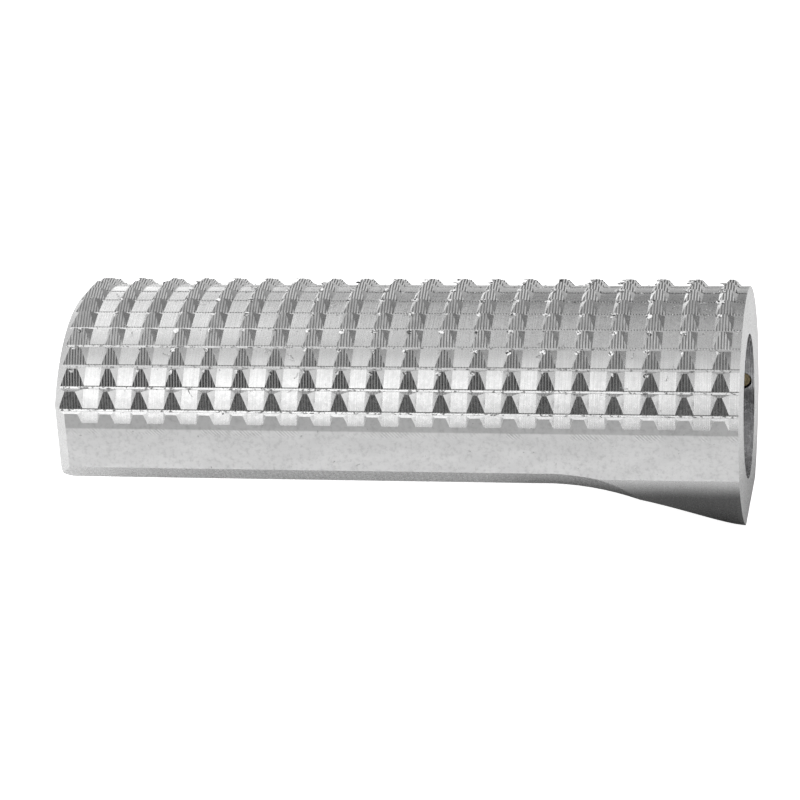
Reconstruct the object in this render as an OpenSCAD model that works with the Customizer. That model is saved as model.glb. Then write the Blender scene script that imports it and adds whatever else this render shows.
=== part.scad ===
// Motorcycle foot peg: a milled billet body with a ring-grooved, stepped tread on
// top, flat sides, and a swept-down round end that takes the mount's spigot.
// Origin: centre of the mount recess, in the mount face. +X points out of that
// face, so the peg runs towards -X. +Z is up, through the crown of the tread.

/* [Body] */
// Length from the mount face to the outer end
peg_length = 102.5; // [85:0.5:130]
// Width across the two flat sides
peg_width = 40.9; // [36:0.2:49]
// How far the centre of the tread's arc lies below the mount axis
tread_drop = 4.3; // [3:0.1:5]
// How far the flat underside lies below the mount axis
underside_drop = 5.6; // [4.6:0.1:7]
// How far the centre of the round mount end lies above the mount axis
boss_rise = 4.6; // [3.5:0.1:5.6]
// Length over which the underside sweeps down to the mount face
flare_length = 29; // [24:0.5:35]
// Metal left under the register ring at the bottom of the recess
rim_wall = 0.9; // [0.8:0.1:1.5]
// Bevel along the two lower edges
lower_bevel = 2.6; // [1.5:0.1:3]
// Bevel round the outer end
outer_bevel = 2; // [1:0.1:2.4]

/* [Tread] */
// Spacing of the ridges along the peg
ridge_pitch = 5.08; // [4.2:0.01:6.1]
// Distance from the mount face to the middle of the last ridge
last_ridge = 2.7; // [2.3:0.1:3.2]
// Plain land kept at the outer end
outer_land = 3.2; // [2.6:0.1:3.8]
// Floor width of the ring grooves
groove_floor = 2.4; // [2:0.1:2.8]
// Depth of the ring grooves
groove_depth = 1; // [0.8:0.05:1.2]
// Number of steps milled along the tread
tooth_count = 14; // [12:1:16]
// Turn of the peg from one step to the next, in degrees
tooth_step = 9; // [7.5:0.1:9.5]
// Turn taken up by the steep side of a step, in degrees
tooth_return = 2; // [1.5:0.1:3]
// How far the foot of each step is cut below the groove floor
root_depth = 0.15; // [0.1:0.05:0.25]
// Flat of the side that stands out past the lowest groove floor
side_land = 0.75; // [0.4:0.05:1]

/* [Mount recess] */
// Radius of the recess that takes the mount's spigot
recess_r = 10.9; // [10:0.1:13.2]
// Depth of the recess in the body
recess_depth = 4.2; // [3.6:0.1:5]
// Wall of the register ring that lines the recess
ring_wall = 0.8; // [0.6:0.1:1]
// Thickness of the seat washer on the recess floor
washer_thick = 0.8; // [0.6:0.1:1]

/* [Mount hardware] */
// Radius inside the insert's thread, a 3/8-16 tapping size
thread_r = 3.97; // [3.3:0.01:4.8]
// Outer radius of the thread insert
insert_r = 6.35; // [5.6:0.05:6.9]
// Length of the thread insert
insert_length = 10; // [8:0.5:12]
// Width of each locking key
key_width = 1.3; // [1:0.1:1.6]
// How far a locking key stands out of the insert
key_height = 0.6; // [0.4:0.1:0.8]
// Radius of the washer's pins
pin_r = 1.25; // [1:0.05:1.5]
// Depth of the washer's pins in the recess floor
pin_depth = 4; // [3:0.5:5]
// Radius of the lock screw
lock_r = 1.25; // [1:0.05:1.3]
// Length of the lock screw without its tip
lock_length = 5; // [4:0.5:6]
// Key size of the lock screw's hex socket, across the flats
lock_key = 1.27; // [0.9:0.01:1.5]

/* [Clearances] */
// Radial clearance of the lock screw in its hole
lock_clear = 0.05; // [0.02:0.01:0.1]
// Radial clearance of the washer in the recess
washer_clear = 0.1; // [0.05:0.05:0.2]
// Radial clearance of the pins in the washer
pin_clear = 0.15; // [0.1:0.05:0.25]

/* [Hidden] */
$fn = 96;

// Tread section, in the plane across the peg
tread_half = tooth_count * tooth_step / 2;
tread_r = (peg_width / 2 - side_land) / sin(tread_half);
crest_r = tread_r + groove_depth;
root_r = tread_r - root_depth;
reach = crest_r + 10;
ridge_count = floor((peg_length - last_ridge - outer_land) / ridge_pitch) + 1;

// Underside sweep: an arc that leaves the flat underside, lapping it very slightly
sweep_lap = 0.02;
ring_outer_r = recess_r + ring_wall;
sweep_run = flare_length - recess_depth;
sweep_fall = ring_outer_r + rim_wall - underside_drop;
sweep_r = (sweep_run * sweep_run + sweep_fall * sweep_fall) / (2 * sweep_fall);
bevel_lag = 1;
bevel_depth = (peg_width / 2 + underside_drop - lower_bevel) / sqrt(2);
boss_r = tread_r;

// Mount hardware
insert_back = recess_depth + insert_length;
washer_r = ring_outer_r - washer_clear;
ring_length = recess_depth - washer_thick;
seal_inset = 0.35;
seal_r = insert_r - seal_inset;
seal_wall = 1;
seal_dip = 0.15;
key_length = insert_length - 2;
key_sink = 0.5;
drill_over = 3;
pin_place = (insert_r + recess_r) / 2;
pin_dip = 0.1;
drill_step = 0.4;
lock_x = -ring_length / 2;
tip_length = 1.2;
tip_step = 0.2;
tip_rest = recess_r + 0.4;
screw_foot = tip_rest + tip_length;
socket_depth = 1.5;
cut_over = 1;

// A point of the tread section at a radius and an angle from the crown
function arc_pt(r, a) = [-r * sin(a), r * cos(a) - tread_drop];

// Foot and crest of every step, from the front side over the crown to the back
step_points = [
    for (i = [0:tooth_count - 1], part = [0, 1])
        part == 0
            ? arc_pt(root_r, tread_half - i * tooth_step)
            : arc_pt(crest_r, tread_half - (i + 1) * tooth_step + tooth_return)
];
first_crest = arc_pt(crest_r, tread_half + tooth_return);
last_root = arc_pt(root_r, -tread_half);
last_crest = arc_pt(crest_r, -tread_half - tooth_step + tooth_return);
tread_outline = concat(
    [[-reach, -reach], [-reach, first_crest[1]], first_crest],
    step_points,
    [last_root, last_crest, [reach, last_crest[1]], [reach, -reach]]
);

module rod_x(r, from, to) {
    translate([from, 0, 0]) rotate([0, 90, 0]) cylinder(r = r, h = to - from);
}

module rod_y(r, from, to) {
    translate([0, to, 0]) rotate([90, 0, 0]) cylinder(r = r, h = to - from);
}

// Bar along the peg with the steps milled along its top
module tread_block() {
    translate([-peg_length, 0, 0]) rotate([90, 0, 90]) linear_extrude(peg_length)
        polygon(tread_outline);
}

// Round below the middle of the boss, open above it
module boss_section() {
    translate([0, 0, boss_rise]) {
        rod_x(boss_r, -peg_length, 0);
        translate([-peg_length, -reach, 0]) cube([peg_length, 2 * reach, reach]);
    }
}

module side_planes() {
    translate([-peg_length, -peg_width / 2, -reach]) cube([peg_length, peg_width, 2 * reach]);
}

// Ring groove with 45 degree walls
module ring_groove(x) {
    half = groove_floor / 2;
    over = groove_depth + cut_over;
    translate([x, 0, -tread_drop]) rotate([0, 90, 0]) rotate_extrude()
        polygon([[tread_r, -half], [tread_r + over, -half - over],
                 [tread_r + over, half + over], [tread_r, half]]);
}

module ring_grooves() {
    for (i = [0:ridge_count - 1])
        ring_groove(-last_ridge + ridge_pitch / 2 - i * ridge_pitch);
}

// What lies below a plane at this depth, which sweeps down from x = -start
module underside_cut(depth, start) {
    far = peg_length + cut_over;
    translate([-far, -reach, -depth - reach]) cube([far - start, 2 * reach, reach]);
    translate([-start, 0, -depth - sweep_r + sweep_lap]) rod_y(sweep_r, -reach, reach);
}

module underside_cuts() {
    underside_cut(underside_drop, flare_length);
    for (side = [-1, 1])
        rotate([side * 45, 0, 0]) underside_cut(bevel_depth, flare_length - bevel_lag);
}

// Turned bevel round the tread, straight bevels up the sides, rounded lower edge
module outer_end_cuts() {
    translate([-peg_length, 0, 0]) {
        translate([0, 0, -tread_drop]) rotate([0, 90, 0]) rotate_extrude()
            polygon([[crest_r - outer_bevel, 0], [crest_r - outer_bevel, -cut_over],
                     [crest_r + cut_over, -cut_over], [crest_r + cut_over, outer_bevel + cut_over]]);
        for (side = [-1, 1])
            translate([0, side * peg_width / 2, -reach]) rotate([0, 0, 45])
                translate([-outer_bevel / sqrt(2), -outer_bevel / sqrt(2), 0])
                    cube([outer_bevel * sqrt(2), outer_bevel * sqrt(2), 2 * reach]);
        translate([0, 0, -underside_drop]) difference() {
            translate([-cut_over, -reach, -cut_over])
                cube([outer_bevel + cut_over, 2 * reach, outer_bevel + cut_over]);
            translate([outer_bevel, 0, outer_bevel]) rod_y(outer_bevel, -reach, reach);
        }
    }
}

// Places of the washer's pins, either side of the insert
module at_pins() {
    for (side = [-1, 1]) translate([0, side * pin_place, 0]) children();
}

// Four key slots or keys round the insert
module key_bars() {
    for (turn = [0:90:270]) rotate([turn + 45, 0, 0])
        translate([-recess_depth - key_length, -key_width / 2, insert_r - key_sink])
            cube([key_length, key_width, key_height + key_sink]);
}

module lock_hole(r) {
    translate([lock_x, 0, 0]) rod_y(r, 0, peg_width);
}

module mount_cuts() {
    rod_x(ring_outer_r, -recess_depth, cut_over);
    rod_x(insert_r, -insert_back, 0);
    rod_x(thread_r - drill_step, -insert_back - drill_over, 0);
    key_bars();
    at_pins() rod_x(pin_r, -recess_depth - pin_depth, 0);
    lock_hole(lock_r + lock_clear);
}

module peg_body() {
    color("silver") difference() {
        intersection() {
            tread_block();
            boss_section();
            side_planes();
        }
        ring_grooves();
        underside_cuts();
        outer_end_cuts();
        mount_cuts();
    }
}

// Steel ring that lines the recess and traps the washer under it
module register_ring() {
    color("gainsboro") difference() {
        rod_x(ring_outer_r, -ring_length, 0);
        rod_x(recess_r, -recess_depth, cut_over);
        lock_hole(lock_r + lock_clear);
    }
}

// Hardened washer on the recess floor, drilled for its pins
module seat_washer() {
    color("slategray") difference() {
        rod_x(washer_r, -recess_depth, -recess_depth + washer_thick);
        rod_x(seal_r, -recess_depth - cut_over, 0);
        at_pins() rod_x(pin_r + pin_clear, -recess_depth - cut_over, 0);
    }
}

// Rubber lip bonded inside the washer, dished in its middle
module bonded_seal() {
    inner = seal_r - seal_wall;
    color("dimgray") translate([-recess_depth, 0, 0]) rotate([0, 90, 0]) rotate_extrude()
        polygon([[inner, 0], [seal_r, 0], [seal_r, washer_thick],
                 [(inner + seal_r) / 2, washer_thick - seal_dip], [inner, washer_thick]]);
}

module thread_insert() {
    color("lightgray") difference() {
        rod_x(insert_r, -insert_back, -recess_depth);
        rod_x(thread_r, -insert_back - cut_over, 0);
        key_bars();
    }
}

module insert_keys() {
    color("gray") key_bars();
}

// Dowels that keep the washer from turning, their tops just below its face
module washer_pins() {
    color("darkgray") at_pins()
        rod_x(pin_r, -recess_depth - pin_depth, -recess_depth + washer_thick - pin_dip);
}

module lock_screw() {
    color("black") translate([lock_x, 0, 0]) difference() {
        rod_y(lock_r, screw_foot, screw_foot + lock_length);
        translate([0, screw_foot + lock_length + cut_over, 0]) rotate([90, 0, 0])
            cylinder(d = lock_key / cos(30), h = socket_depth + cut_over, $fn = 6);
    }
}

// Soft tip pressed on the screw's foot, which bears on the spigot
module lock_tip() {
    color("goldenrod") translate([lock_x, 0, 0]) rod_y(lock_r - tip_step, tip_rest, screw_foot);
}

peg_body();
register_ring();
seat_washer();
bonded_seal();
thread_insert();
insert_keys();
washer_pins();
lock_screw();
lock_tip();
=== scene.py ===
import math
import random
import bpy
import bmesh
from mathutils import Matrix, Vector


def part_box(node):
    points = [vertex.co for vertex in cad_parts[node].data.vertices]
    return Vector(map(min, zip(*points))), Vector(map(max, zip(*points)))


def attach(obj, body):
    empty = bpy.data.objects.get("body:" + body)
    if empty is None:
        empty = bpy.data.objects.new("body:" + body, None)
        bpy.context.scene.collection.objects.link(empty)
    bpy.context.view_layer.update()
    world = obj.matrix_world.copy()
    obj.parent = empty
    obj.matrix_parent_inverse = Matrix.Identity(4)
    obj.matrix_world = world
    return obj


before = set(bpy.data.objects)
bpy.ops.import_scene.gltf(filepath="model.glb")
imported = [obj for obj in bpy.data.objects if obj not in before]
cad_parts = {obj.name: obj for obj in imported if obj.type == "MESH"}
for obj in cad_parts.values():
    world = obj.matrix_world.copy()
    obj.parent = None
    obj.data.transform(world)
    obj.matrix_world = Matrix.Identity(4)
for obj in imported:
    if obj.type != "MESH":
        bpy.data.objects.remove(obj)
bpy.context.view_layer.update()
print("frame loaded:", len(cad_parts), "nodes")

# camera
cameraSpec = {
    "target": (-0.0534, 0.0, -0.0043),
    "distance": 0.4655,
    "elevation": 0.372,
    "turn": 0.2022,
    "roll": -0.0623,
    "lens": 136.0,
    "shift": (-0.0019, 0.0357),
}


def addCamera(spec):
    turn, rise, roll = spec["turn"], spec["elevation"], spec["roll"]
    look = Vector((-math.sin(turn) * math.cos(rise), math.cos(turn) * math.cos(rise), -math.sin(rise)))
    flatRight = Vector((math.cos(turn), math.sin(turn), 0.0))
    flatUp = flatRight.cross(look)
    right = math.cos(roll) * flatRight + math.sin(roll) * flatUp
    up = -math.sin(roll) * flatRight + math.cos(roll) * flatUp
    data = bpy.data.cameras.new("camera")
    data.lens = spec["lens"]
    data.sensor_width = 36.0
    data.shift_x, data.shift_y = spec["shift"]
    data.clip_start = 0.01
    camera = bpy.data.objects.new("camera", data)
    place = Matrix((right, up, -look)).transposed().to_4x4()
    place.translation = Vector(spec["target"]) - look * spec["distance"]
    camera.matrix_world = place
    bpy.context.scene.collection.objects.link(camera)
    bpy.context.scene.camera = camera
    return camera


addCamera(cameraSpec)

# the body's sizes, in metres, read from the frame
bodyLow, bodyHigh = (Vector(corner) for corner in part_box("peg_body"))
tread = {
    "arcHeight": -0.0043,  # height of the tread's centre line
    "floorRadius": (bodyHigh.y - 0.00075) / math.sin(math.radians(63)),
    "ridgeDepth": 0.001,
    "pitch": 0.00508,
    "lastRidge": 0.0027,
    "step": math.radians(9),
    "halfTurn": math.radians(63),
    "stepReturn": math.radians(2),
    "steps": 14,
    "ridges": 20,
    "ridgeTop": 0.00034,  # half width of a ridge's crest
}


# small helpers for shader trees
class Tree:
    def __init__(self, tree):
        self.tree = tree

    def add(self, kind, **values):
        node = self.tree.nodes.new(kind)
        for name, value in values.items():
            setattr(node, name, value)
        return node

    def join(self, source, target):
        self.tree.links.new(source, target)

    def feed(self, target, value):
        if isinstance(value, bpy.types.NodeSocket):
            self.join(value, target)
        else:
            target.default_value = value

    def math(self, operation, a, b=None, c=None, clamp=False):
        node = self.add("ShaderNodeMath", operation=operation, use_clamp=clamp)
        for socket, value in zip(node.inputs, (a, b, c)):
            if value is not None:
                self.feed(socket, value)
        return node.outputs[0]

    def smooth(self, value, low, high, toLow=0.0, toHigh=1.0):
        node = self.add("ShaderNodeMapRange", interpolation_type="SMOOTHSTEP")
        for name, amount in (("Value", value), ("From Min", low), ("From Max", high),
                             ("To Min", toLow), ("To Max", toHigh)):
            self.feed(node.inputs[name], amount)
        return node.outputs["Result"]

    def noise(self, vector, scale, detail=2.0, rough=0.5, distortion=0.0):
        node = self.add("ShaderNodeTexNoise")
        self.join(vector, node.inputs["Vector"])
        for name, amount in (("Scale", scale), ("Detail", detail), ("Roughness", rough),
                             ("Distortion", distortion)):
            node.inputs[name].default_value = amount
        return node.outputs["Fac"]

    def stretched(self, vector, scale):
        node = self.add("ShaderNodeVectorMath", operation="MULTIPLY")
        self.join(vector, node.inputs[0])
        node.inputs[1].default_value = scale
        return node.outputs[0]

    def mixed(self, fac, a, b):
        node = self.add("ShaderNodeMix", data_type="RGBA")
        self.feed(node.inputs[0], fac)
        self.feed(node.inputs[6], a)
        self.feed(node.inputs[7], b)
        return node.outputs[2]

    def mixedNumber(self, fac, a, b):
        node = self.add("ShaderNodeMix", data_type="FLOAT")
        self.feed(node.inputs[0], fac)
        self.feed(node.inputs[2], a)
        self.feed(node.inputs[3], b)
        return node.outputs[0]


def newGroup(name, inputs, outputs):
    group = bpy.data.node_groups.new(name, "ShaderNodeTree")
    for label, kind, value in inputs:
        socket = group.interface.new_socket(label, in_out="INPUT", socket_type=kind)
        if value is not None:
            socket.default_value = value
    for label, kind in outputs:
        group.interface.new_socket(label, in_out="OUTPUT", socket_type=kind)
    tree = Tree(group)
    return group, tree, tree.add("NodeGroupInput"), tree.add("NodeGroupOutput")


def newMaterial(name):
    material = bpy.data.materials.new(name)
    material.use_nodes = True
    tree = Tree(material.node_tree)
    return material, tree, material.node_tree.nodes["Principled BSDF"]


def grey(level):
    return (level, level, level, 1.0)


# floor and light
stageSpec = {
    "floorSize": 3.0,
    "floorColour": (0.9, 0.9, 0.9, 1.0),
    "glow": 0.95,  # backlit table near the object, as seen directly
    "cardReach": (-0.12, -0.07, -0.034, -0.02),  # band in front of the object that lights its side
    "cardTone": (0.08, 0.9),  # floor outside the band and inside it
    # painted shadow: floor colour under the object, as the peg reflects it
    "paintedShadowLevel": 0.8,
    "poolCentre": (-0.05, 0.1, 0.0),
    "poolReach": (0.28, 0.46),  # where the glow starts to fade and where it ends
    "sky": [
        # height angle from the front horizon over the top to the back, light level
        (0, 0.05), (14, 0.07), (30, 0.16), (50, 0.30), (68, 0.44), (90, 0.47), (114, 0.39), (131, 0.31),
        (150, 0.2), (158, 0.24), (168, 0.55), (180, 0.65),
    ],
    "keyLevel": 1.25,
    "keyRise": (26, 39, 50, 92),  # height angles at which the front softbox fades in and out
    "keyAcross": (-0.95, -0.7, -0.2, 0.12),
    "glareAcross": (-0.2, -0.29),  # a card behind that only the outer end reflects
    "glareRise": (1.45, 1.8),
    "glareLevel": 1.1,
    "right": (0.95, 0.16, -0.02, 0.36),  # level beside the object, level behind it, and where it fades
    "left": (0.95, 0.6, 0.2, 0.6),
    "rightStart": (0.35, 0.75),
    "leftStart": (-0.45, -0.75),
    "softboxes": [
        # name, place, aimed at, width, height, watts
        ("overhead", (-0.1, -0.3, 0.62), (-0.05, -0.04, 0.0), 0.5, 0.4, 2.0),
    ],
}


def addFloor(spec, height):
    half = spec["floorSize"] / 2
    corners = [(-half, -half, height), (half, -half, height), (half, half, height), (-half, half, height)]
    mesh = bpy.data.meshes.new("floor")
    mesh.from_pydata(corners, [], [(0, 1, 2, 3)])
    floor = bpy.data.objects.new("floor", mesh)
    bpy.context.scene.collection.objects.link(floor)
    material, tree, shader = newMaterial("paleFloor")
    shader.inputs["Roughness"].default_value = 0.9
    shader.inputs["Specular IOR Level"].default_value = 0.1
    place = tree.add("ShaderNodeTexCoord").outputs["Object"]
    direct = tree.add("ShaderNodeLightPath").outputs["Is Camera Ray"]
    depth = tree.add("ShaderNodeSeparateXYZ")
    tree.join(place, depth.inputs[0])
    farOut, farFull, nearFull, nearOut = spec["cardReach"]
    length = bodyHigh.x - bodyLow.x
    beside = tree.math("ABSOLUTE", tree.math("ADD", depth.outputs["X"], length / 2))
    # painted shadow on the floor under the object, seen only by rays other than the camera's
    paintedShadowMask = tree.math("MULTIPLY", tree.smooth(depth.outputs["Y"], nearFull, nearOut),
                      tree.smooth(beside, length / 2 + 0.01, length / 2))
    card = tree.math("MULTIPLY", tree.smooth(depth.outputs["Y"], farOut, farFull, *spec["cardTone"]),
                     tree.mixedNumber(paintedShadowMask, 1.0, spec["paintedShadowLevel"]))
    paint = tree.mixed(direct, card, spec["floorColour"])
    tree.join(paint, shader.inputs["Base Color"])
    away = tree.add("ShaderNodeVectorMath", operation="DISTANCE")
    tree.join(place, away.inputs[0])
    away.inputs[1].default_value = (spec["poolCentre"][0], spec["poolCentre"][1], height)
    near, far = spec["poolReach"]
    seen = tree.mixedNumber(direct, 0.0, spec["glow"])
    glow = tree.math("MULTIPLY", seen, tree.smooth(away.outputs["Value"], near, far, 1.0, 0.0))
    tree.join(glow, shader.inputs["Emission Color"])
    shader.inputs["Emission Strength"].default_value = 1.0
    mesh.materials.append(material)


def addSoftbox(name, place, target, width, height, power):
    data = bpy.data.lights.new(name, "AREA")
    data.shape = "RECTANGLE"
    data.size = width
    data.size_y = height
    data.energy = power
    light = bpy.data.objects.new(name, data)
    light.location = place
    light.rotation_euler = (Vector(target) - Vector(place)).to_track_quat("-Z", "Y").to_euler()
    light.visible_glossy = False
    bpy.context.scene.collection.objects.link(light)


def addWorld(spec):
    world = bpy.data.worlds.new("studio")
    world.use_nodes = True
    tree = Tree(world.node_tree)
    split = tree.add("ShaderNodeSeparateXYZ")
    tree.join(tree.add("ShaderNodeTexCoord").outputs["Generated"], split.inputs[0])
    x, y, z = split.outputs
    height = tree.math("ARCTAN2", z, tree.math("MULTIPLY", y, -1.0))
    ramp = tree.add("ShaderNodeValToRGB")
    tree.join(tree.math("DIVIDE", height, math.pi), ramp.inputs[0])
    stops = ramp.color_ramp.elements
    while len(stops) < len(spec["sky"]):
        stops.new(0.5)
    for stop, (angle, level) in zip(stops, spec["sky"]):
        stop.position = angle / 180
        stop.color = grey(level)
    lowIn, lowFull, highFull, highOut = (math.radians(angle) for angle in spec["keyRise"])
    leftOut, leftFull, rightFull, rightOut = spec["keyAcross"]
    key = tree.math("MULTIPLY", tree.smooth(height, lowIn, lowFull),
                    tree.smooth(height, highFull, highOut, 1.0, 0.0))
    across = tree.math("MULTIPLY", tree.smooth(x, leftOut, leftFull),
                       tree.smooth(x, rightFull, rightOut, 1.0, 0.0))
    key = tree.math("MULTIPLY", tree.math("MULTIPLY", key, across), spec["keyLevel"])
    level = tree.math("ADD", ramp.outputs["Color"], key)
    glare = tree.math("MULTIPLY", tree.smooth(x, *spec["glareAcross"]),
                      tree.smooth(height, *spec["glareRise"]))
    level = tree.math("MULTIPLY_ADD", glare, spec["glareLevel"], level)
    for name in ("right", "left"):
        beside, behind, fadeStart, fadeEnd = spec[name]
        card = tree.smooth(y, fadeStart, fadeEnd, beside, behind)
        level = tree.mixedNumber(tree.smooth(x, *spec[name + "Start"]), level, card)
    back = world.node_tree.nodes["Background"]
    tree.join(level, back.inputs["Color"])
    bpy.context.scene.world = world


addWorld(stageSpec)
addFloor(stageSpec, bodyLow.z)
for softbox in stageSpec["softboxes"]:
    addSoftbox(*softbox)
bpy.context.scene.view_settings.view_transform = "Standard"
print("stage ready")


# groups that several metals share
def makeStreaks():
    # fine lines with an uneven depth: along Across they change fast, along the other axes slowly
    group, tree, take, give = newGroup(
        "toolLines",
        [("Vector", "NodeSocketVector", None), ("Fine", "NodeSocketFloat", 9.0)],
        [("Lines", "NodeSocketFloat")],
    )
    node = tree.add("ShaderNodeTexNoise")
    tree.join(take.outputs["Vector"], node.inputs["Vector"])
    tree.join(take.outputs["Fine"], node.inputs["Scale"])
    node.inputs["Detail"].default_value = 3.0
    node.inputs["Roughness"].default_value = 0.65
    tree.join(tree.smooth(node.outputs["Fac"], 0.3, 0.7), give.inputs["Lines"])
    return group


def makeSpecks():
    # small marks that stand apart from each other
    group, tree, take, give = newGroup(
        "specks",
        [("Vector", "NodeSocketVector", None), ("Scale", "NodeSocketFloat", 2.0),
         ("Amount", "NodeSocketFloat", 0.7)],
        [("Mask", "NodeSocketFloat")],
    )
    node = tree.add("ShaderNodeTexNoise")
    tree.join(take.outputs["Vector"], node.inputs["Vector"])
    tree.join(take.outputs["Scale"], node.inputs["Scale"])
    node.inputs["Detail"].default_value = 4.0
    node.inputs["Roughness"].default_value = 0.6
    node.inputs["Distortion"].default_value = 0.6
    edge = tree.math("ADD", take.outputs["Amount"], 0.06)
    tree.join(tree.smooth(node.outputs["Fac"], take.outputs["Amount"], edge), give.inputs["Mask"])
    return group


toolLines = makeStreaks()
specks = makeSpecks()


def useGroup(tree, group, **values):
    node = tree.add("ShaderNodeGroup", node_tree=group)
    for name, value in values.items():
        tree.feed(node.inputs[name], value)
    return node.outputs[0]


# the billet's finish
billetSpec = {
    "metal": 0.83,
    "roughness": 0.27,
    "feedStep": 0.43,  # mm between feed marks on the faces of the steps
    "feedDark": 0.32,
    # painted shade: how much darker the step faces are made, standing for the dark surroundings they reflect
    "flankPaintedShade": 0.45,
    "plainCrown": (2, 18),  # turn from the crown, in degrees, at which feed marks start to show
    "upperFloor": (34, 26),  # turn at which the floors run on without lines between the steps
    "bump": 0.35,
    "unevenGrain": (2.6, 0.5, 0.5),
    "stainGrain": (0.16, 0.16, 0.4),
    "mottle": 0.14,
    "scallopStep": 0.8,
    "hatchStep": 0.55,
    "hatchDepth": 0.12,
    "turnedDark": 0.12,
    "facedDark": 0.35,
    "bandDark": 0.3,
    # painted shade on the downward-facing sweep under the mount end
    "sweepPaintedShade": 0.82,
    "speckDark": 0.7,
    "pitDark": 0.5,
    "notchTilt": -5,
    "notchEnd": 0.1,
    # where the painted shade on the sweep starts along the peg, and how it deepens downwards
    "sweepStart": (-40, -28),
    "sweepDepth": (-3.0, -7.5),
    "bandTop": (3.1, 3.4),  # height of the dull band under the ridges' ends
    "hatch": (2.2, 2.5, 3.2, 3.5),
}


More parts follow.
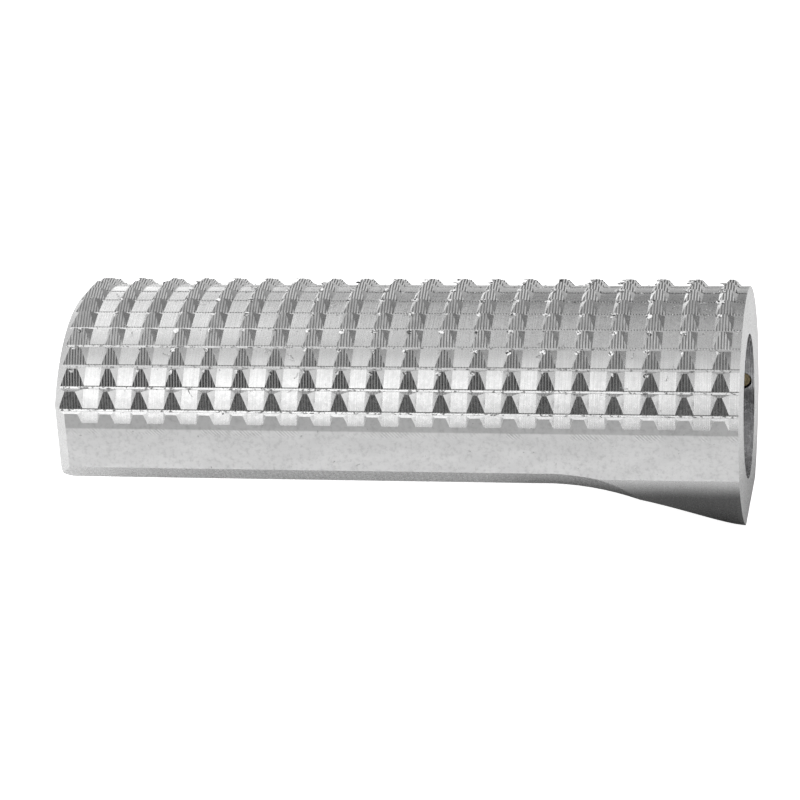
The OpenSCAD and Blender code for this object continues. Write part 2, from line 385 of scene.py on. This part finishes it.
def billetMaterial(spec):
    material, tree, shader = newMaterial("milledBillet")
    coords = tree.add("ShaderNodeTexCoord")
    inMm = tree.stretched(coords.outputs["Object"], (1000.0, 1000.0, 1000.0))
    split = tree.add("ShaderNodeSeparateXYZ")
    tree.join(inMm, split.inputs[0])
    x, y, z = split.outputs
    facing = tree.add("ShaderNodeSeparateXYZ")
    tree.join(coords.outputs["Normal"], facing.inputs[0])
    nx, ny, nz = facing.outputs

    # place round the tread's centre line: radius, turn from the crown, and normals along both
    rise = tree.math("SUBTRACT", z, tread["arcHeight"] * 1000)
    squares = tree.math("ADD", tree.math("MULTIPLY", y, y), tree.math("MULTIPLY", rise, rise))
    radius = tree.math("SQRT", squares)
    turn = tree.math("ARCTAN2", tree.math("MULTIPLY", y, -1.0), rise)
    outward = tree.math("ADD", tree.math("MULTIPLY", ny, y), tree.math("MULTIPLY", nz, rise))
    outward = tree.math("DIVIDE", outward, radius)
    forward = tree.math("SUBTRACT", tree.math("MULTIPLY", nz, y), tree.math("MULTIPLY", ny, rise))
    forward = tree.math("DIVIDE", forward, radius)
    sideways = tree.math("ABSOLUTE", nx)
    floorRadius = tread["floorRadius"] * 1000
    halfWidth = bodyHigh.y * 1000
    side = tree.math("MULTIPLY", tree.smooth(tree.math("ABSOLUTE", ny), 0.97, 0.985),
                     tree.smooth(tree.math("ABSOLUTE", y), halfWidth - 0.05, halfWidth - 0.02))
    onTread = tree.math("MULTIPLY", tree.smooth(radius, floorRadius - 0.4, floorRadius - 0.3),
                        tree.math("SUBTRACT", 1.0, side))
    lengthwise = tree.smooth(sideways, 0.4, 0.2)
    flank = tree.math("MULTIPLY", tree.smooth(forward, 0.2, 0.3), lengthwise)
    flank = tree.math("MULTIPLY", flank, onTread)
    onFloor = tree.math("MULTIPLY", tree.smooth(outward, 0.98, 0.995), lengthwise)
    onFloor = tree.math("MULTIPLY", onFloor, onTread)
    under = tree.smooth(nz, -0.2, -0.4)
    endFace = tree.smooth(sideways, 0.95, 0.98)

    # how far along a step, 0 at its foot
    along = tree.math("SUBTRACT", tread["halfTurn"], turn)
    along = tree.math("FRACT", tree.math("DIVIDE", along, tread["step"]))
    nearFoot = tree.smooth(tree.math("ABSOLUTE", tree.math("SUBTRACT", along, 0.02)), 0.09, 0.02)

    # the foot of each step is burnished flush, so it catches light as the floor does
    notch = tree.math("MULTIPLY", flank, tree.smooth(along, spec["notchEnd"], spec["notchEnd"] - 0.03))
    foot = tree.math("MULTIPLY", tree.math("MULTIPLY", onTread, lengthwise),
                     tree.smooth(turn, tread["halfTurn"], tread["halfTurn"] + 0.004))
    notch = tree.math("MAXIMUM", notch, foot)
    tilt = math.radians(spec["notchTilt"])
    upright = tree.add("ShaderNodeCombineXYZ")
    tiltedY = tree.math("SUBTRACT", tree.math("MULTIPLY", y, math.cos(tilt)),
                        tree.math("MULTIPLY", rise, math.sin(tilt)))
    tiltedZ = tree.math("ADD", tree.math("MULTIPLY", rise, math.cos(tilt)),
                        tree.math("MULTIPLY", y, math.sin(tilt)))
    tree.join(tree.math("DIVIDE", tiltedY, radius), upright.inputs[1])
    tree.join(tree.math("DIVIDE", tiltedZ, radius), upright.inputs[2])
    flank = tree.math("MULTIPLY", flank, tree.math("SUBTRACT", 1.0, notch))

    # on the upper floors the ring groove's turned surface runs straight over the step feet
    upper = tree.smooth(turn, *(math.radians(angle) for angle in spec["upperFloor"]))
    lowLying = tree.smooth(radius, floorRadius + 0.12, floorRadius + 0.06)
    lowLying = tree.math("MULTIPLY", lowLying, lengthwise)
    evenFloor = tree.math("MULTIPLY", tree.math("MULTIPLY", upper, lowLying), onTread)
    radial = tree.add("ShaderNodeCombineXYZ")
    tree.join(tree.math("DIVIDE", y, radius), radial.inputs[1])
    tree.join(tree.math("DIVIDE", rise, radius), radial.inputs[2])

    # feed marks up the step faces, turned lines round the grooves, lines round the end faces
    feed = tree.math("COSINE", tree.math("MULTIPLY", x, 2 * math.pi / spec["feedStep"]))
    uneven = tree.noise(tree.stretched(inMm, spec["unevenGrain"]), 1.0, 3.0, 0.6)
    uneven = tree.smooth(uneven, 0.35, 0.6)
    crown = tree.smooth(turn, *(math.radians(angle) for angle in spec["plainCrown"]))
    feedMask = tree.math("MULTIPLY", tree.smooth(feed, 0.75, -0.3), flank)
    feedMask = tree.math("MULTIPLY", feedMask, tree.math("MULTIPLY", uneven, crown))
    ringVector = tree.add("ShaderNodeCombineXYZ")
    tree.join(x, ringVector.inputs[0])
    tree.feed(ringVector.inputs[1], tree.math("MULTIPLY", turn, 0.25))
    turned = useGroup(tree, toolLines, Vector=ringVector.outputs[0], Fine=7.0)
    squares = tree.math("ADD", tree.math("MULTIPLY", y, y), tree.math("MULTIPLY", z, z))
    faceRadius = tree.math("SQRT", squares)
    faceVector = tree.add("ShaderNodeCombineXYZ")
    tree.join(faceRadius, faceVector.inputs[0])
    faced = useGroup(tree, toolLines, Vector=faceVector.outputs[0], Fine=5.0)
    scallop = tree.math("SINE", tree.math("MULTIPLY", x, 2 * math.pi / spec["scallopStep"]))

    # colour
    stain = tree.noise(tree.stretched(inMm, spec["stainGrain"]), 1.0, 5.0, 0.6)
    cloud = tree.noise(inMm, 1.6, 5.0, 0.7)
    level = tree.math("MULTIPLY_ADD", tree.smooth(stain, 0.35, 0.65), 0.06, spec["metal"] - 0.04)
    mottled = tree.math("MULTIPLY", tree.smooth(cloud, 0.45, 0.75), side)
    level = tree.math("MULTIPLY_ADD", mottled, -spec["mottle"], level)
    level = tree.math("MULTIPLY", level, tree.math("MULTIPLY_ADD", feedMask, -spec["feedDark"], 1.0))
    # painted shade: every step face is darkened by the same share
    level = tree.math("MULTIPLY", level, tree.math("MULTIPLY_ADD", flank, -spec["flankPaintedShade"], 1.0))
    level = tree.math("MULTIPLY", level, tree.math(
        "MULTIPLY_ADD", tree.math("MULTIPLY", turned, onFloor), -spec["turnedDark"], 1.0))
    level = tree.math("MULTIPLY", level, tree.math(
        "MULTIPLY_ADD", tree.math("MULTIPLY", faced, endFace), -spec["facedDark"], 1.0))
    dull = tree.math("MULTIPLY", side, tree.smooth(z, *spec["bandTop"]))
    level = tree.math("MULTIPLY", level, tree.math("MULTIPLY_ADD", dull, -spec["bandDark"], 1.0))
    low, lowIn, highIn, high = spec["hatch"]
    band = tree.math("MULTIPLY", tree.smooth(z, low, lowIn), tree.smooth(z, highIn, high, 1.0, 0.0))
    slant = tree.math("SINE", tree.math("MULTIPLY", tree.math("ADD", x, z), 2 * math.pi / spec["hatchStep"]))
    patch = tree.smooth(tree.noise(tree.stretched(inMm, (0.25, 0.25, 0.25)), 1.0), 0.45, 0.6)
    hatch = tree.math("MULTIPLY", tree.math("MULTIPLY", band, side), patch)
    hatch = tree.math("MULTIPLY", hatch, slant)
    level = tree.math("MULTIPLY", level, tree.math("MULTIPLY_ADD", hatch, spec["hatchDepth"], 1.0))
    # painted shade on the faces that look down at the mount end, darker lower down
    sweep = tree.math("MULTIPLY", under, tree.smooth(x, *spec["sweepStart"]))
    paintedSweepShade = tree.math("MULTIPLY", sweep, tree.smooth(z, *spec["sweepDepth"], 0.1, 1.0))
    level = tree.math("MULTIPLY", level, tree.math("MULTIPLY_ADD", paintedSweepShade, -spec["sweepPaintedShade"], 1.0))
    burr = useGroup(tree, specks, Vector=tree.stretched(inMm, (1.0, 1.6, 1.6)), Scale=1.5, Amount=0.56)
    burrMask = tree.math("MULTIPLY", tree.math("MULTIPLY", burr, nearFoot), onTread)
    burrMask = tree.math("MULTIPLY", burrMask, tree.math("SUBTRACT", 1.0, upper))
    level = tree.math("MULTIPLY", level, tree.math("MULTIPLY_ADD", burrMask, -spec["speckDark"], 1.0))
    pit = useGroup(tree, specks, Vector=inMm, Scale=1.3, Amount=0.68)
    pitMask = tree.math("MULTIPLY", pit, tree.math("MAXIMUM", side, onFloor))
    level = tree.math("MULTIPLY", level, tree.math("MULTIPLY_ADD", pitMask, -spec["pitDark"], 1.0))
    colour = tree.add("ShaderNodeCombineColor")
    for socket in colour.inputs[:3]:
        tree.join(level, socket)
    tree.join(colour.outputs[0], shader.inputs["Base Color"])
    shader.inputs["Metallic"].default_value = 1.0

    rough = tree.math("MULTIPLY_ADD", tree.smooth(cloud, 0.3, 0.7), 0.1, spec["roughness"] - 0.04)
    rough = tree.math("MULTIPLY_ADD", side, 0.1, rough)
    tree.join(rough, shader.inputs["Roughness"])

    height = tree.math("MULTIPLY", tree.math("MULTIPLY", feed, flank), 0.8)
    height = tree.math("MULTIPLY_ADD", tree.math("MULTIPLY", turned, onFloor), 0.1, height)
    height = tree.math("MULTIPLY_ADD", tree.math("MULTIPLY", faced, endFace), 0.4, height)
    height = tree.math("MULTIPLY_ADD", tree.math("MULTIPLY", scallop, under), 0.5, height)
    height = tree.math("MULTIPLY_ADD", tree.math("MULTIPLY", cloud, side), 0.45, height)
    height = tree.math("MULTIPLY_ADD", burrMask, -0.8, height)
    height = tree.math("MULTIPLY_ADD", hatch, 0.3, height)
    bump = tree.add("ShaderNodeBump")
    base = tree.add("ShaderNodeMix", data_type="VECTOR")
    tree.join(notch, base.inputs[0])
    tree.join(tree.add("ShaderNodeNewGeometry").outputs["Normal"], base.inputs[4])
    tree.join(upright.outputs[0], base.inputs[5])
    even = tree.add("ShaderNodeMix", data_type="VECTOR")
    tree.join(evenFloor, even.inputs[0])
    tree.join(base.outputs[1], even.inputs[4])
    tree.join(radial.outputs[0], even.inputs[5])
    tree.join(even.outputs[1], bump.inputs["Normal"])
    bump.inputs["Strength"].default_value = spec["bump"]
    bump.inputs["Distance"].default_value = 0.0001
    tree.join(height, bump.inputs["Height"])
    tree.join(bump.outputs["Normal"], shader.inputs["Normal"])
    return material


# the smaller pieces' finishes
smallSpec = {
    # node: colour, metallic, roughness, depth of the turned lines
    "register_ring": ((0.78, 0.78, 0.79), 1.0, 0.22, 0.5),
    "seat_washer": ((0.40, 0.40, 0.42), 1.0, 0.3, 0.6),
    "thread_insert": ((0.60, 0.59, 0.57), 1.0, 0.3, 0.6),
    "insert_keys": ((0.50, 0.50, 0.50), 1.0, 0.35, 0.3),
    "washer_pins": ((0.66, 0.66, 0.67), 1.0, 0.18, 0.2),
    "lock_screw": ((0.045, 0.045, 0.05), 0.8, 0.38, 0.4),
    "lock_tip": ((0.42, 0.34, 0.2), 1.0, 0.25, 0.4),
    "bonded_seal": ((0.025, 0.025, 0.026), 0.0, 0.6, 0.1),
}


def smallMaterial(name, colour, metallic, rough, lines):
    material, tree, shader = newMaterial("finish_" + name)
    inMm = tree.stretched(tree.add("ShaderNodeTexCoord").outputs["Object"], (1000.0, 1000.0, 1000.0))
    split = tree.add("ShaderNodeSeparateXYZ")
    tree.join(inMm, split.inputs[0])
    x, y, z = split.outputs
    squares = tree.math("ADD", tree.math("MULTIPLY", y, y), tree.math("MULTIPLY", z, z))
    reach = tree.math("SQRT", squares)
    ringed = tree.add("ShaderNodeCombineXYZ")
    tree.join(reach, ringed.inputs[0])
    tree.join(x, ringed.inputs[1])
    mark = useGroup(tree, toolLines, Vector=ringed.outputs[0], Fine=6.0)
    dust = useGroup(tree, specks, Vector=inMm, Scale=2.2, Amount=0.62)
    cloud = tree.noise(inMm, 0.9, 4.0, 0.6)
    dark = tuple(channel * 0.7 for channel in colour) + (1.0,)
    shade = tree.mixed(tree.smooth(cloud, 0.35, 0.65), dark, colour + (1.0,))
    grit = tree.mixed(tree.math("MULTIPLY", dust, 0.4), shade, (0.3, 0.29, 0.27, 1.0))
    tree.join(grit, shader.inputs["Base Color"])
    shader.inputs["Metallic"].default_value = metallic
    roughness = tree.math("MULTIPLY_ADD", tree.smooth(cloud, 0.3, 0.7), 0.12, rough - 0.04)
    tree.join(roughness, shader.inputs["Roughness"])
    bump = tree.add("ShaderNodeBump")
    bump.inputs["Strength"].default_value = 0.4
    bump.inputs["Distance"].default_value = 0.0001
    height = tree.math("MULTIPLY_ADD", mark, lines, tree.math("MULTIPLY", cloud, 0.3))
    tree.join(height, bump.inputs["Height"])
    tree.join(bump.outputs["Normal"], shader.inputs["Normal"])
    return material


def dress(node, material):
    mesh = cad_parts[node].data
    mesh.materials.clear()
    mesh.materials.append(material)


dress("peg_body", billetMaterial(billetSpec))
for nodeName, finish in smallSpec.items():
    dress(nodeName, smallMaterial(nodeName, *finish))
print("finishes ready")

# burrs and swarf
burrSpec = {
    "seed": 7,
    "reach": (0.3, 0.85),  # mm that a burr hangs off the left end of a step's crest
    "thick": 0.07,
    "kept": 0.85,
    "extra": 2,  # more scales on a tooth near the crown at the mount end
    "crumbs": 26,  # per foot line
    "curls": 46,
    "curlRadius": 0.045,
}


def treadPoint(x, radius, turn):
    # x and radius in mm, turn from the crown towards the front
    return Vector((x, -radius * math.sin(turn), radius * math.cos(turn) + tread["arcHeight"] * 1000)) / 1000


def ridgeCentre(index):
    return -(tread["lastRidge"] + index * tread["pitch"]) * 1000


def addFlake(mesh, corners, thick, out):
    # a thin closed scale: the corners as a fan, with the same fan just below
    count = len(corners)
    top = [mesh.verts.new(c + out * thick / 2000) for c in corners]
    low = [mesh.verts.new(c - out * thick / 2000) for c in corners]
    mesh.faces.new(top)
    mesh.faces.new(list(reversed(low)))
    for i in range(count):
        j = (i + 1) % count
        mesh.faces.new((top[j], top[i], low[i], low[j]))


def finishMesh(name, mesh, material, smooth=False):
    for vert in mesh.verts:
        vert.co.z = min(vert.co.z, bodyHigh.z)
    bmesh.ops.recalc_face_normals(mesh, faces=mesh.faces)
    data = bpy.data.meshes.new(name)
    mesh.to_mesh(data)
    mesh.free()
    for face in data.polygons:
        face.use_smooth = smooth
    data.materials.append(material)
    piece = bpy.data.objects.new(name, data)
    bpy.context.scene.collection.objects.link(piece)
    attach(piece, "peg")
    return piece


def makeBurrs(spec, material):
    rng = random.Random(spec["seed"])
    mesh = bmesh.new()
    floorRadius = tread["floorRadius"] * 1000
    crest = floorRadius + tread["ridgeDepth"] * 1000
    for ridge in range(tread["ridges"]):
        inner = 1 - ridge / (tread["ridges"] - 1)
        for step in range(1, tread["steps"] - 1):
            upper = min(1.0, step / 4)
            if rng.random() > spec["kept"]:
                continue
            turn = tread["halfTurn"] - step * tread["step"] - tread["step"] + tread["stepReturn"]
            edge = ridgeCentre(ridge) - tread["ridgeTop"] * 1000
            out = treadPoint(0, 1000, turn).normalized()
            for scale in range(1 + round(spec["extra"] * upper * inner)):
                reach = rng.uniform(*spec["reach"]) * (1 + 0.5 * inner * upper)
                start = edge + 0.12 - scale * 0.16
                drop = math.radians(rng.uniform(0.6, 1.9))
                lift = rng.uniform(-0.3, 0.0)
                corners = [
                    treadPoint(start, crest - 0.04, turn + drop * 0.3 * scale),
                    treadPoint(start - reach * 0.5, crest + lift * 0.3,
                               turn - math.radians(rng.uniform(-0.2, 0.5))),
                    treadPoint(start - reach, crest + lift, turn + drop * rng.uniform(0.2, 0.6)),
                    treadPoint(start - reach * rng.uniform(0.5, 0.8), crest + lift * 1.8, turn + drop),
                    treadPoint(start - 0.02, crest - 0.2, turn + drop * 0.8),
                ]
                addFlake(mesh, corners, spec["thick"], out)
    return finishMesh("edgeBurrs", mesh, material)


def makeCrumbs(spec, material):
    rng = random.Random(spec["seed"] + 1)
    mesh = bmesh.new()
    floorRadius = tread["floorRadius"] * 1000
    for step in range(tread["steps"]):
        turn = tread["halfTurn"] - step * tread["step"]
        for _ in range(spec["crumbs"]):
            ridge = rng.randrange(tread["ridges"])
            x = ridgeCentre(ridge) + rng.uniform(0.3, 0.7) * tread["pitch"] * 1000
            if x > -0.6:
                continue
            size = rng.uniform(0.08, 0.2)
            centre = treadPoint(x, floorRadius + 0.02, turn + math.radians(rng.uniform(-0.9, 0.9)))
            before = len(mesh.verts)
            place = Matrix.Translation(centre) @ Matrix.Rotation(rng.uniform(0, 3), 4, "Z")
            shape = Matrix.Diagonal((rng.uniform(1.0, 2.6), 1.0, rng.uniform(0.5, 1.0), 1.0))
            bmesh.ops.create_icosphere(mesh, subdivisions=1, radius=size / 2000, matrix=place @ shape)
            mesh.verts.ensure_lookup_table()
            for vert in mesh.verts[before:]:
                nudge = Vector((rng.uniform(-1, 1), rng.uniform(-1, 1), rng.uniform(-1, 1)))
                vert.co += nudge * size / 7000
    return finishMesh("footCrumbs", mesh, material)


def makeCurls(spec, material):
    rng = random.Random(spec["seed"] + 2)
    mesh = bmesh.new()
    floorRadius = tread["floorRadius"] * 1000
    sides = 5
    for _ in range(spec["curls"]):
        ridge = rng.randrange(tread["ridges"] - 1)
        x = ridgeCentre(ridge) - tread["pitch"] * 1000 * 0.5 + rng.uniform(-0.7, 0.7)
        turn = math.radians(rng.uniform(-35, 60))
        heading = rng.uniform(0, 2 * math.pi)
        bend = rng.uniform(-1.6, 1.6)
        length = rng.uniform(0.8, 2.2)
        rings = []
        points = 12
        for i in range(points):
            share = i / (points - 1)
            way = heading + bend * share
            x += math.cos(way) * length / points
            turn += math.sin(way) * length / points / floorRadius
            height = floorRadius + 0.05 + 0.18 * math.sin(math.pi * share)
            centre = treadPoint(x, height, turn)
            out = treadPoint(0, 1000, turn).normalized()
            around = out.cross(Vector((1, 0, 0)))
            along = (Vector((math.cos(way), 0, 0)) + around * -math.sin(way)).normalized()
            across = along.cross(out).normalized()
            radius = spec["curlRadius"] * (1 - 0.6 * share) / 1000
            ring = []
            for k in range(sides):
                angle = 2 * math.pi * k / sides
                spoke = across * math.cos(angle) + out * math.sin(angle)
                ring.append(mesh.verts.new(centre + spoke * radius))
            rings.append(ring)
        for first, second in zip(rings, rings[1:]):
            for k in range(sides):
                m = (k + 1) % sides
                mesh.faces.new((first[k], first[m], second[m], second[k]))
        mesh.faces.new(list(reversed(rings[0])))
        mesh.faces.new(rings[-1])
    return finishMesh("swarfCurls", mesh, material, smooth=True)


def burrMaterial():
    material, tree, shader = newMaterial("tornMetal")
    inMm = tree.stretched(tree.add("ShaderNodeTexCoord").outputs["Object"], (1000.0, 1000.0, 1000.0))
    # tone varies at random; its near-black patches are painted shade standing for the shadows among the
    # crumpled burrs
    toneAndPaintedShade = tree.smooth(tree.noise(inMm, 2.6, 3.0, 0.7), 0.4, 0.55, 0.05, 1.0)
    colour = tree.add("ShaderNodeCombineColor")
    for socket in colour.inputs[:3]:
        tree.join(toneAndPaintedShade, socket)
    tree.join(colour.outputs[0], shader.inputs["Base Color"])
    shader.inputs["Metallic"].default_value = 0.4
    shader.inputs["Roughness"].default_value = 0.35
    return material


tornMetal = burrMaterial()
makeBurrs(burrSpec, tornMetal)
makeCrumbs(burrSpec, tornMetal)
makeCurls(burrSpec, tornMetal)
print("burrs and swarf ready")
